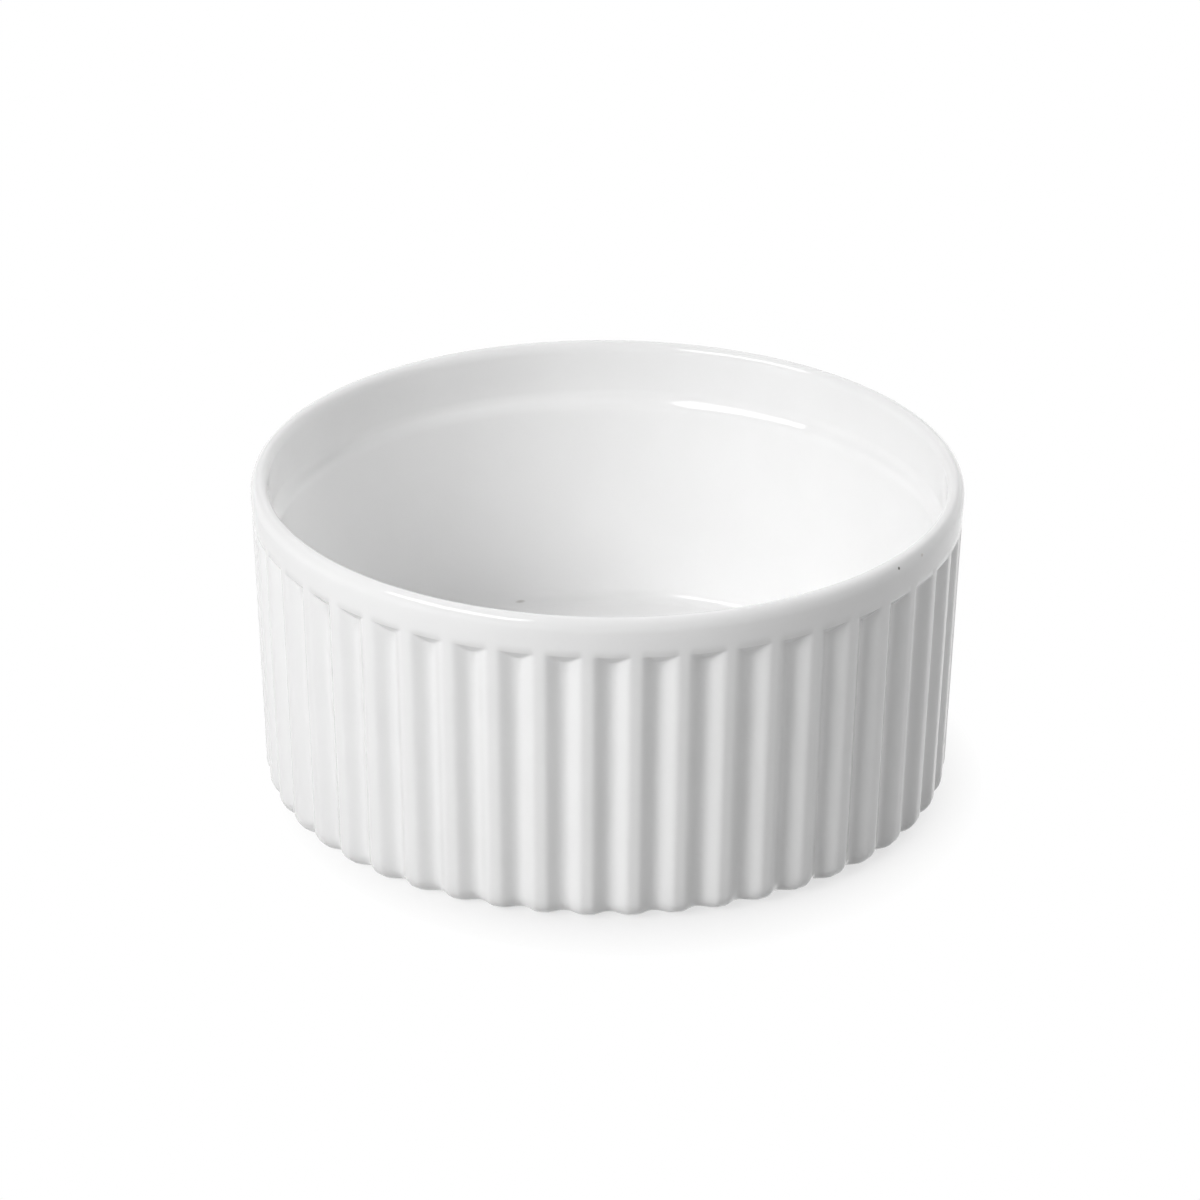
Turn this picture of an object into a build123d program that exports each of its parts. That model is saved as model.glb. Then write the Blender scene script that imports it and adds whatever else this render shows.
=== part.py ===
from build123d import *
import os
from math import atan2, cos, degrees, radians, sin, tan

# A fluted porcelain ramekin, in millimetres. Its origin is the centre of the
# foot, on the surface that it stands on. +Z points up, through the mouth.
# The dish is cast and fired in one piece, so it is one solid.

# Lip and band
rim_diameter = 120.0
height = 55.0
lip_thickness = 2.9
lip_inner_width = 1.3
lip_inner_height = 1.8
lip_outer_height = 2.3
lip_overhang = 0.2
band_height = 6.5

# Fluted wall
flute_count = 48
flute_depth = 1.5
foot_flute_share = 0.8
flute_width_share = 0.72
flute_bottom_share = 0.45
flute_end_height = 1.7
wall_draft_degrees = 2.1
base_corner_radius = 3.6

# Inside, with the soft ledge below the mouth
ledge_below_band = 4.1
ledge_width = 1.3
ledge_height = 3.6
inside_draft_degrees = 3.0
floor_thickness = 4.6
floor_fillet_radius = 2.5

# Foot ring
foot_width = 4.5
foot_recess_depth = 2.4
foot_recess_slope_width = 1.4

# Facets that stand for each round stretch of a turned profile
base_corner_facets = 3
lip_facets = 4
lip_inner_facets = 3
ledge_facets = 2
fillet_facets = 3

# Length by which a cut runs past the surface that it opens
overrun = 2.0

# Radii and levels that follow from the sizes above
rim_radius = rim_diameter / 2
mouth_radius = rim_radius - lip_thickness
band_radius = rim_radius - lip_overhang
flute_top = height - band_height
wall_slope = tan(radians(wall_draft_degrees))
crest_base_radius = band_radius - (flute_top - base_corner_radius) * wall_slope
corner_centre_radius = crest_base_radius - base_corner_radius
floor_level = foot_recess_depth + floor_thickness


def fluted_outline(crest, depth, level):
    """Closed outline at one level. Each pitch has a flute's round bottom, a flank, a ridge, a flank."""
    pitch = 360 / flute_count
    half_flute = pitch * flute_width_share / 2
    half_bottom = half_flute * flute_bottom_share
    edge = crest - depth * (1 - flute_bottom_share) / (1 - flute_bottom_share / 2)

    def point(radius, angle):
        turn = radians(angle)
        return (radius * sin(turn), -radius * cos(turn), level)

    sides = []
    for index in range(flute_count):
        middle = index * pitch
        stops = [
            (edge, middle + half_bottom),
            (crest, middle + half_flute),
            (crest, middle + pitch - half_flute),
            (edge, middle + pitch - half_bottom),
        ]
        start = point(edge, middle - half_bottom)
        sides.append(ThreePointArc(start, point(crest - depth, middle), point(*stops[0])))
        for stop, following in zip(stops, stops[1:]):
            halfway = point(crest, (stop[1] + following[1]) / 2)
            if depth:
                sides.append(Line(point(*stop), point(*following)))
            else:
                sides.append(ThreePointArc(point(*stop), halfway, point(*following)))
    return Wire(sides)


def fluted_drum():
    """Solid drum with the fluted side: foot corner, drafted wall, flute ends."""
    outlines = []
    for step in range(base_corner_facets + 1):
        turn = radians((90 - wall_draft_degrees) * step / base_corner_facets)
        crest = corner_centre_radius + base_corner_radius * sin(turn)
        depth = flute_depth * (foot_flute_share + (1 - foot_flute_share) * sin(turn))
        level = base_corner_radius * (1 - cos(turn))
        outlines.append(fluted_outline(crest, depth, level))
    crest = band_radius - flute_end_height * wall_slope
    outlines.append(fluted_outline(crest, flute_depth, flute_top - flute_end_height))
    outlines.append(fluted_outline(band_radius, 0, flute_top))
    return Solid.make_loft(outlines, ruled=True)


def turned(*outline):
    """Solid of revolution of a closed outline of (radius, level) points."""
    return revolve(Plane.XZ * make_face(Polyline(*outline, close=True)), Axis.Z)


def arc_points(centre, radius, start, end, facets, stretch=1):
    """Points on an arc, from one angle in degrees to another, with its height stretched."""
    points = []
    for step in range(facets + 1):
        turn = radians(start + (end - start) * step / facets)
        rise = stretch * radius * sin(turn)
        points.append((centre[0] + radius * cos(turn), centre[1] + rise))
    return points


def rim_ring():
    """Plain band above the flutes, leaning out to a lip that is round on both sides of its crest."""
    crest_radius = mouth_radius + lip_inner_width
    outer_width = lip_thickness - lip_inner_width
    outer_centre = (crest_radius, height - lip_outer_height)
    inner_centre = (crest_radius, height - lip_inner_height)
    outer_stretch = lip_outer_height / outer_width
    inner_stretch = lip_inner_height / lip_inner_width
    outside = arc_points(outer_centre, outer_width, 0, 90, lip_facets, outer_stretch)
    inside = arc_points(inner_centre, lip_inner_width, 90, 180, lip_inner_facets, inner_stretch)
    foot = [(mouth_radius, flute_top), (band_radius, flute_top)]
    return turned(*foot, *outside, *inside[1:])


def cavity():
    """Inside of the dish up to the band: floor, fillet, wall and soft ledge."""
    ledge_middle = flute_top - ledge_below_band
    ledge_turn = 2 * degrees(atan2(ledge_width, ledge_height))
    ledge_radius = ledge_height / 2 / sin(radians(ledge_turn))
    wall_radius = mouth_radius - ledge_width
    wall_top = ledge_middle - ledge_height / 2
    upper = (mouth_radius - ledge_radius, ledge_middle + ledge_height / 2)
    lower = (wall_radius + ledge_radius, wall_top)
    lean = radians(inside_draft_degrees)
    fillet_level = floor_level + floor_fillet_radius
    tangent_level = fillet_level - floor_fillet_radius * sin(lean)
    tangent_radius = wall_radius - (wall_top - tangent_level) * tan(lean)
    fillet = (tangent_radius - floor_fillet_radius * cos(lean), fillet_level)
    return turned(
        (0, floor_level),
        *arc_points(fillet, floor_fillet_radius, -90, -inside_draft_degrees, fillet_facets),
        *arc_points(lower, ledge_radius, 180, 180 - ledge_turn, ledge_facets)[:-1],
        *arc_points(upper, ledge_radius, -ledge_turn, 0, ledge_facets)[1:],
        (mouth_radius, flute_top + overrun),
        (0, flute_top + overrun),
    )


def foot_recess():
    """Shallow recess under the floor, inside the ring that the dish stands on."""
    ring_inside = corner_centre_radius - flute_depth - foot_width
    return turned(
        (0, -overrun),
        (ring_inside, -overrun),
        (ring_inside, 0),
        (ring_inside - foot_recess_slope_width, foot_recess_depth),
        (0, foot_recess_depth),
    )


def ramekin_body():
    """The whole dish."""
    return fluted_drum() - cavity() - foot_recess() + rim_ring()


os.makedirs("parts", exist_ok=True)
body = ramekin_body()
export_step(body, "parts/ramekin_body.step")
print("solids", len(body.solids()), "volume", round(body.volume), "valid", body.is_valid)
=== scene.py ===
from math import atan2, cos, degrees, pi, radians, sin, tan

import bmesh
import bpy
from mathutils import Matrix, Vector


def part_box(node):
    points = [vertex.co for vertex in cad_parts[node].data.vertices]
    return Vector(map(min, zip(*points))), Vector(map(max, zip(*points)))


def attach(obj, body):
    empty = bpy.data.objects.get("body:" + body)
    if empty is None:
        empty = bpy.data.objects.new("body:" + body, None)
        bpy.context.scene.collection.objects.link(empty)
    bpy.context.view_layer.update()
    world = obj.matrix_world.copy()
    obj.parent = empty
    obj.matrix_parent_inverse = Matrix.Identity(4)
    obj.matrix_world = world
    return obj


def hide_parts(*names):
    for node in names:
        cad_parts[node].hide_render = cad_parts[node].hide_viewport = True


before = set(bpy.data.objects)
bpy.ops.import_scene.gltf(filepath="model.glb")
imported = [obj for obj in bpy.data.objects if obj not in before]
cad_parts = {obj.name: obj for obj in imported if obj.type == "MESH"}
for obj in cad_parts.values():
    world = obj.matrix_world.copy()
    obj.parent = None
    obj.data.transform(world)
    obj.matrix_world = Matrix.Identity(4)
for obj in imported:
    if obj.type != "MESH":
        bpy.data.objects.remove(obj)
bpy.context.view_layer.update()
NODE = "ramekin_body"
low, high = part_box(NODE)
MM = 0.001
white = (1, 1, 1, 1)

# Lip and band, in metres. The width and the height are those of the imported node
rim_radius = min(high.x, high.y, -low.x, -low.y)
height = high.z
lip_thickness = 2.9 * MM
lip_inner_width = 1.3 * MM
lip_inner_height = 1.8 * MM
lip_outer_height = 2.3 * MM
lip_overhang = 0.2 * MM
band_height = 6.5 * MM

# Fluted wall. Each arris is rounded over arris_share of half a flute on both of its sides, and
# roof_softness rounds the line where a flute's bottom meets its upper end
flute_count = 48
flute_depth = 1.5 * MM
foot_flute_share = 0.8
flute_width_share = 0.72
flute_bottom_share = 0.45
flute_end_height = 1.7 * MM
wall_draft = radians(2.1)
arris_share = 0.2
roof_softness = 0.08 * MM
base_corner_radius = 3.6 * MM

# Inside, with the soft ledge below the mouth
ledge_below_band = 4.1 * MM
ledge_width = 1.3 * MM
ledge_height = 4.0 * MM
inside_draft = radians(3)
floor_thickness = 4.6 * MM
floor_fillet_radius = 2.5 * MM

# Foot ring
foot_width = 4.5 * MM
foot_recess_depth = 2.4 * MM
foot_recess_slope_width = 1.4 * MM

# Columns across the bottom, flank, arris and ridge of half a flute, and rows along each stretch
bottom_columns = 3
flank_columns = 3
arris_columns = 4
ridge_columns = 2
corner_rows = 8
wall_rows = 6
flute_end_rows = 12
band_rows = 3
lip_rows = 10
lip_inner_rows = 9
ledge_rows = 6
fillet_rows = 8
floor_rows = 4

# Waves and pits in the glaze: repeats to the metre, detail, strength and height of each noise
wave_scale = 60.0
wave_detail = 2.0
wave_strength = 0.25
wave_height = 0.25 * MM
pit_scale = 900.0
pit_detail = 3.0
pit_strength = 0.1
pit_height = 0.02 * MM

# Range of both noises over which the tone and the roughness change
noise_low = 0.3
noise_high = 0.7
darkest_tone = 0.865
palest_tone = 0.885
smoothest_glaze = 0.03
roughest_glaze = 0.06
glaze_ior = 1.5

# The foot ring is bare of glaze up to one level, and glazed from the other
bare_level = 0.1 * MM
glaze_level = 0.2 * MM
bare_colour = (0.80, 0.78, 0.74, 1)
bare_roughness = 0.75

# Marks in the glaze, each with its centre and half sizes in millimetres and its colour: two specks on the
# lip, and a streak on the inside fillet. A mark is full up to one share of its half sizes and gone at the
# other
marks = (
    ((47.03, -37.01, 53.95), (0.3, 0.3, 0.3), (0.10, 0.09, 0.08, 1)),
    ((51.12, -31.24, 53.7), (0.4, 0.4, 0.3), (0.7, 0.68, 0.66, 1)),
    ((-14.55, 50.2, 7.6), (1.1, 1.2, 0.25), (0.5, 0.48, 0.46, 1)),
)
mark_full_share = 0.5
mark_gone_share = 1.2

# Ground that the dish stands on, just under the foot ring so that the two faces don't share a plane. It
# has one tone for the light that it sends back, and a paler one where the camera or gloss sees it
ground_level = -0.05 * MM
ground_reach = 4.0
ground_tone = 0.5
ground_tone_seen = 0.75

# Share of plain white in the ground that the camera sees: this much in an oval round the dish, and all of
# it outside. Inside the oval the matt tone shows more, which paints a soft shade round the dish on top of
# its real shadow from the lamps. The oval's edge is soft, from shadow_start to shadow_end
shadow_white_share = 0.68
shadow_start = 56 * MM
shadow_end = 68 * MM
shadow_centre = (4 * MM, -2 * MM, 0)
shadow_scale = (1.12, 1, 1)

# World: the light that it gives, and the ceiling's tone where the camera or gloss sees it. It looks white
# up to white_rise and has the ceiling's tone from ceiling_rise, both sines of an elevation
world_light = 0.01
ceiling_tone = 0.25
white_rise = 0.05
ceiling_rise = 0.25

# Camera that the photograph was matched with. It faces the point camera_aim above the origin, shifted a
# little to the left and up, and camera_turn brings the front flutes in line. The lens and the sensor are
# in millimetres
camera_elevation = radians(24.648)
camera_turn = radians(-0.75)
camera_distance = 1.0095
camera_lens = 177.97
camera_sensor = 36.0
camera_nearest = 0.05
camera_roll = radians(0.344)
camera_aim = 0.025
camera_left = 1.149 * MM
camera_up = 5.680 * MM

# Radii and levels that follow from the sizes above
mouth_radius = rim_radius - lip_thickness
band_radius = rim_radius - lip_overhang
flute_top = height - band_height
crest_base_radius = band_radius - (flute_top - base_corner_radius) * tan(wall_draft)
corner_centre_radius = crest_base_radius - base_corner_radius
foot_inside_radius = corner_centre_radius - flute_depth - foot_width
floor_level = foot_recess_depth + floor_thickness


def flute_share(across):
    """Share of a flute's depth at a place across half of it: 1 in the middle, 0 on the ridge."""
    slope = 1 / (1 - flute_bottom_share / 2)
    if across < flute_bottom_share:
        return 1 - slope * across ** 2 / (2 * flute_bottom_share)
    if across < 1 - arris_share:
        return slope * (1 - across)
    if across < 1 + arris_share:
        return slope * (1 + arris_share - across) ** 2 / (4 * arris_share)
    return 0


def half_flute_places():
    """Places across half a pitch, in half flute widths from the flute's middle."""
    ridge = 1 / flute_width_share
    stretches = (
        (0, flute_bottom_share, bottom_columns),
        (flute_bottom_share, 1 - arris_share, flank_columns),
        (1 - arris_share, 1 + arris_share, arris_columns),
        (1 + arris_share, ridge, ridge_columns),
    )
    places = []
    for start, end, columns in stretches:
        places += [start + (end - start) * step / columns for step in range(columns)]
    return places + [ridge]


def dish_columns():
    """(turn, share of a flute's depth) of each column of points round the dish."""
    half_flute = pi / flute_count * flute_width_share
    places = half_flute_places()
    offsets = [-place for place in reversed(places[1:])] + places[:-1]
    columns = []
    for flute in range(flute_count):
        middle = 2 * pi * flute / flute_count
        columns += [(middle + half_flute * offset, flute_share(abs(offset))) for offset in offsets]
    return columns


def eased(step, steps):
    """Share of a straight stretch at one of its rows, which lie closer together near both ends."""
    return (1 - cos(pi * step / steps)) / 2


def soft_least(first, second):
    """The lesser of two depths, with a soft turn where they meet."""
    gap = max(roof_softness - abs(first - second), 0)
    return min(first, second) - gap ** 2 / (4 * roof_softness)


def arc(centre, radius, start, end, rows, stretch=1):
    """Points on an arc, angles in degrees, without the first one, with its height stretched."""
    points = []
    for step in range(1, rows + 1):
        turn = radians(start + (end - start) * step / rows)
        rise = stretch * radius * sin(turn)
        points.append((centre[0] + radius * cos(turn), centre[1] + rise))
    return points


def underside_profile():
    """(radius, 0, level) from the middle of the recess out to the foot ring's inner edge."""
    slope_end = foot_inside_radius - foot_recess_slope_width
    rows = []
    for step in range(floor_rows - 1, 0, -1):
        rows.append((slope_end * (1 - eased(step, floor_rows)), 0, foot_recess_depth))
    rows.append((slope_end, 0, foot_recess_depth))
    rows.append((foot_inside_radius, 0, 0))
    return rows


def outside_profile():
    """(ridge radius, flute depth, level) from the foot up to the top of the flutes."""
    rows = []
    for step in range(corner_rows + 1):
        turn = (pi / 2 - wall_draft) * step / corner_rows
        crest = corner_centre_radius + base_corner_radius * sin(turn)
        depth = flute_depth * (foot_flute_share + (1 - foot_flute_share) * sin(turn))
        rows.append((crest, depth, base_corner_radius * (1 - cos(turn))))
    start = rows[-1][2]
    end = flute_top - flute_end_height
    levels = [start + (end - start) * eased(step, wall_rows) for step in range(1, wall_rows + 1)]
    levels += [end + flute_end_height * step / flute_end_rows for step in range(1, flute_end_rows + 1)]
    for level in levels:
        rows.append((band_radius - (flute_top - level) * tan(wall_draft), flute_depth, level))
    return rows


def rim_profile():
    """(radius, 0, level) from the top of the flutes up the band and over the lip."""
    crest_radius = mouth_radius + lip_inner_width
    outer_width = lip_thickness - lip_inner_width
    outer_centre = (crest_radius, height - lip_outer_height)
    inner_centre = (crest_radius, height - lip_inner_height)
    profile = []
    for step in range(1, band_rows + 1):
        share = step / band_rows
        level = flute_top + (outer_centre[1] - flute_top) * share
        profile.append((band_radius + lip_overhang * share, level))
    outer_stretch = lip_outer_height / outer_width
    inner_stretch = lip_inner_height / lip_inner_width
    profile += arc(outer_centre, outer_width, 0, 90, lip_rows, outer_stretch)
    profile += arc(inner_centre, lip_inner_width, 90, 180, lip_inner_rows, inner_stretch)
    return [(radius, 0, level) for radius, level in profile]


def inside_profile():
    """(radius, 0, level) from below the lip over the ledge and down to the middle of the floor."""
    ledge_middle = flute_top - ledge_below_band
    ledge_turn = 2 * degrees(atan2(ledge_width, ledge_height))
    ledge_radius = ledge_height / 2 / sin(radians(ledge_turn))
    wall_radius = mouth_radius - ledge_width
    wall_top = ledge_middle - ledge_height / 2
    upper = (mouth_radius - ledge_radius, ledge_middle + ledge_height / 2)
    lower = (wall_radius + ledge_radius, wall_top)
    fillet_level = floor_level + floor_fillet_radius
    tangent_level = fillet_level - floor_fillet_radius * sin(inside_draft)
    tangent_radius = wall_radius - (wall_top - tangent_level) * tan(inside_draft)
    fillet = (tangent_radius - floor_fillet_radius * cos(inside_draft), fillet_level)
    lip_end = height - lip_inner_height
    profile = [(mouth_radius, (lip_end + upper[1]) / 2), (mouth_radius, upper[1])]
    profile += arc(upper, ledge_radius, 0, -ledge_turn, ledge_rows)
    profile += arc(lower, ledge_radius, 180 - ledge_turn, 180 - degrees(inside_draft), ledge_rows)
    start_radius, start_level = profile[-1]
    for step in range(1, wall_rows + 1):
        share = eased(step, wall_rows)
        radius = start_radius + (tangent_radius - start_radius) * share
        profile.append((radius, start_level + (tangent_level - start_level) * share))
    profile += arc(fillet, floor_fillet_radius, -degrees(inside_draft), -90, fillet_rows)
    floor_radius = profile[-1][0]
    for step in range(1, floor_rows):
        profile.append((floor_radius * (1 - eased(step, floor_rows)), floor_level))
    return [(radius, 0, level) for radius, level in profile]


def new_object(name, mesh, material):
    """Object made from a bmesh, with its material, linked to the scene."""
    data = bpy.data.meshes.new(name)
    mesh.to_mesh(data)
    mesh.free()
    data.materials.append(material)
    made = bpy.data.objects.new(name, data)
    bpy.context.scene.collection.objects.link(made)
    return made


def build_dish():
    """Closed surface of the dish, turned in columns that follow the flutes."""
    mesh = bmesh.new()
    columns = dish_columns()
    rings = []
    profile = underside_profile() + outside_profile() + rim_profile() + inside_profile()
    for radius, depth, level in profile:
        roof = flute_depth * max(flute_top - level, 0) / flute_end_height
        ring = []
        for turn, share in columns:
            reach = radius - max(soft_least(depth * share, roof), 0)
            ring.append(mesh.verts.new((reach * sin(turn), -reach * cos(turn), level)))
        rings.append(ring)
    for lower, upper in zip(rings, rings[1:]):
        for column in range(len(columns)):
            following = (column + 1) % len(columns)
            mesh.faces.new((lower[column], lower[following], upper[following], upper[column]))
    for ring, level in ((rings[0], foot_recess_depth), (rings[-1], floor_level)):
        middle = mesh.verts.new((0, 0, level))
        for column in range(len(columns)):
            mesh.faces.new((middle, ring[column], ring[(column + 1) % len(columns)]))
    bmesh.ops.recalc_face_normals(mesh, faces=mesh.faces)
    for face in mesh.faces:
        face.smooth = True
    return new_object("dish", mesh, glaze_material())


class Nodes:
    """Short way to add nodes to the node tree of a material or a world, and to join them."""

    def __init__(self, owner):
        owner.use_nodes = True
        self.tree = owner.node_tree
        self.tree.nodes.clear()

    def add(self, kind, inputs=None, **settings):
        """New node, with its settings, and its inputs linked or given a constant."""
        node = self.tree.nodes.new(kind)
        for name, value in settings.items():
            setattr(node, name, value)
        for name, value in (inputs or {}).items():
            if isinstance(value, bpy.types.NodeSocket):
                self.tree.links.new(value, node.inputs[name])
            else:
                node.inputs[name].default_value = value
        return node

    def noise(self, place, scale, detail):
        """Noise from about 0 to 1."""
        inputs = {"Vector": place, "Scale": scale, "Detail": detail}
        return self.add("ShaderNodeTexNoise", inputs).outputs["Fac"]

    def ramp(self, value, start, end, first, last):
        """Number that goes from first to last while value goes from start to end."""
        return self.add("ShaderNodeMapRange", {
            "Value": value, "From Min": start, "From Max": end, "To Min": first, "To Max": last,
        }).outputs["Result"]

    def greater(self, first, second):
        """The greater of two numbers."""
        return self.add("ShaderNodeMath", {0: first, 1: second}, operation="MAXIMUM").outputs[0]

    def reach(self, place, centre, scale):
        """Distance from a centre to a place, with each axis scaled."""
        way = self.add("ShaderNodeVectorMath", {0: place, 1: centre}, operation="SUBTRACT").outputs[0]
        scaled = self.add("ShaderNodeVectorMath", {0: way, 1: scale}, operation="MULTIPLY").outputs[0]
        return self.add("ShaderNodeVectorMath", {0: scaled}, operation="LENGTH").outputs["Value"]

    def colour_mix(self, share, first, second):
        """Colour that is the first where share is 0 and the second where it is 1."""
        return self.add("ShaderNodeMix", {0: share, 6: first, 7: second}, data_type="RGBA").outputs[2]

    def bump(self, shape, strength, distance, normal=None):
        """Normal of a surface that the shape lifts by up to a distance."""
        inputs = {"Height": shape, "Strength": strength, "Distance": distance}
        if normal is not None:
            inputs["Normal"] = normal
        return self.add("ShaderNodeBump", inputs).outputs["Normal"]

    def seen_by(self):
        """Light Path's shares, 1 or 0: rays of the camera, and rays off gloss or through glass."""
        path = self.add("ShaderNodeLightPath").outputs
        return path["Is Camera Ray"], self.greater(path["Is Glossy Ray"], path["Is Transmission Ray"])

    def show(self, kind, shader):
        """Join the last shader to an output of the kind that a material or a world has."""
        self.add(kind, {"Surface": shader})


def glaze_material():
    """Clear gloss over white porcelain: faint waves and pits in the glaze, marks, bare foot ring."""
    material = bpy.data.materials.new("white_glaze")
    n = Nodes(material)
    place = n.add("ShaderNodeTexCoord").outputs["Object"]
    waves = n.noise(place, wave_scale, wave_detail)
    pits = n.noise(place, pit_scale, pit_detail)
    level = n.add("ShaderNodeSeparateXYZ", {0: place}).outputs["Z"]
    bare = n.ramp(level, bare_level, glaze_level, 1.0, 0.0)
    tone = n.ramp(waves, noise_low, noise_high, darkest_tone, palest_tone)
    colour = n.colour_mix(bare, tone, bare_colour)
    for centre, sizes, mark_colour in marks:
        centre = Vector(centre) * MM
        away = n.reach(place, centre, [1 / (size * MM) for size in sizes])
        share = n.ramp(away, mark_full_share, mark_gone_share, 1.0, 0.0)
        colour = n.colour_mix(share, colour, mark_colour)
    glossy = n.ramp(pits, noise_low, noise_high, smoothest_glaze, roughest_glaze)
    wavy = n.bump(waves, wave_strength, wave_height)
    shader = n.add("ShaderNodeBsdfPrincipled", {
        "Base Color": colour,
        "Roughness": n.ramp(bare, 0.0, 1.0, glossy, bare_roughness),
        "Normal": n.bump(pits, pit_strength, pit_height, wavy),
        "IOR": glaze_ior,
    })
    n.show("ShaderNodeOutputMaterial", shader.outputs["BSDF"])
    return material


def ground_material():
    """White sweep, lit as a matt floor and shown pale, with the dish's shadow and a painted shade round
    the dish.
    """
    material = bpy.data.materials.new("white_floor")
    n = Nodes(material)
    camera, mirrored = n.seen_by()
    tone = n.ramp(n.greater(camera, mirrored), 0.0, 1.0, ground_tone, ground_tone_seen)
    matt = n.add("ShaderNodeBsdfDiffuse", {"Color": tone})
    glow = n.add("ShaderNodeEmission", {"Color": white, "Strength": 1.0})
    place = n.add("ShaderNodeTexCoord").outputs["Object"]
    # Painted shade: inside the oval the camera sees less plain white, so the ground is darker round the
    # dish even where lamps reach it
    away = n.reach(place, shadow_centre, shadow_scale)
    share = n.ramp(away, shadow_start, shadow_end, shadow_white_share, 1.0)
    direct = n.add("ShaderNodeMath", {0: camera, 1: share}, operation="MULTIPLY").outputs[0]
    mix = n.add("ShaderNodeMixShader", {
        0: n.greater(mirrored, direct), 1: matt.outputs[0], 2: glow.outputs[0],
    })
    n.show("ShaderNodeOutputMaterial", mix.outputs[0])
    return material


def build_ground():
    """Flat white ground, much larger than the view."""
    mesh = bmesh.new()
    sides = ((-1, -1), (1, -1), (1, 1), (-1, 1))
    corners = [(x * ground_reach, y * ground_reach, ground_level) for x, y in sides]
    mesh.faces.new([mesh.verts.new(corner) for corner in corners])
    floor = new_object("floor", mesh, ground_material())


def build_world():
    """Faint light from all round. The camera and gloss see a white backdrop under a grey ceiling."""
    world = bpy.data.worlds.new("studio")
    bpy.context.scene.world = world
    n = Nodes(world)
    way = n.add("ShaderNodeTexCoord").outputs["Generated"]
    rise = n.add("ShaderNodeSeparateXYZ", {0: way}).outputs["Z"]
    sky = n.ramp(rise, white_rise, ceiling_rise, 1.0, ceiling_tone)
    strength = n.ramp(n.greater(*n.seen_by()), 0.0, 1.0, world_light, sky)
    back = n.add("ShaderNodeBackground", {"Color": white, "Strength": strength})
    n.show("ShaderNodeOutputWorld", back.outputs[0])


def softbox(name, turn, elevation, distance, width, tall, watts, mirrored=False):
    """Area lamp that faces the dish. Angles are in degrees, turn from -X towards -Y, and sizes in metres.

    Only a mirrored one shows in gloss. The others stand for light that comes back off the room.
    """
    data = bpy.data.lights.new(name, "AREA")
    data.shape = "RECTANGLE"
    data.size = width
    data.size_y = tall
    data.energy = watts
    lamp = bpy.data.objects.new(name, data)
    lamp.visible_glossy = mirrored
    turn, elevation = radians(turn), radians(elevation)
    way = Vector((-cos(elevation) * cos(turn), -cos(elevation) * sin(turn), sin(elevation)))
    lamp.location = way * distance + Vector((0, 0, height / 2))
    lamp.rotation_euler = way.to_track_quat("Z", "Y").to_euler()
    bpy.context.scene.collection.objects.link(lamp)


def build_camera():
    """Camera at the photograph's angle, distance and framing."""
    data = bpy.data.cameras.new("camera")
    data.sensor_width = camera_sensor
    data.lens = camera_lens
    data.clip_start = camera_nearest
    camera = bpy.data.objects.new("camera", data)
    ahead = Vector((0, cos(camera_elevation), -sin(camera_elevation)))
    upward = Vector((0, sin(camera_elevation), cos(camera_elevation)))
    spot = Vector((-camera_left, 0, camera_aim)) - ahead * camera_distance + upward * camera_up
    turn = Matrix.Rotation(camera_turn, 4, "Z")
    facing = Matrix.Rotation(pi / 2 - camera_elevation, 4, "X")
    roll = Matrix.Rotation(camera_roll, 4, "Z")
    camera.matrix_world = turn @ Matrix.Translation(spot) @ facing @ roll
    bpy.context.scene.collection.objects.link(camera)
    bpy.context.scene.camera = camera


build_camera()
dish = build_dish()
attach(dish, "root")
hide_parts(NODE)

build_ground()
build_world()

# Key lamps at the front left, and the room's light from the right and from behind
softbox("key", turn=36, elevation=39, distance=1.6, width=1.2, tall=0.5, watts=10.9, mirrored=True)
softbox("key_front", turn=52, elevation=34, distance=1.7, width=1.0, tall=0.6, watts=10.9)
softbox("key_low", turn=40, elevation=18, distance=1.6, width=1.4, tall=0.5, watts=3.0)
softbox("right", turn=165, elevation=40, distance=1.8, width=2.0, tall=1.4, watts=4.0, mirrored=True)
softbox("right_back", turn=205, elevation=45, distance=1.8, width=2.2, tall=1.5, watts=12.9)
softbox("back_low", turn=240, elevation=20, distance=1.8, width=1.8, tall=0.8, watts=7.6)
softbox("back", turn=270, elevation=40, distance=1.8, width=2.0, tall=1.4, watts=13.6)

bpy.context.scene.view_settings.view_transform = "Standard"
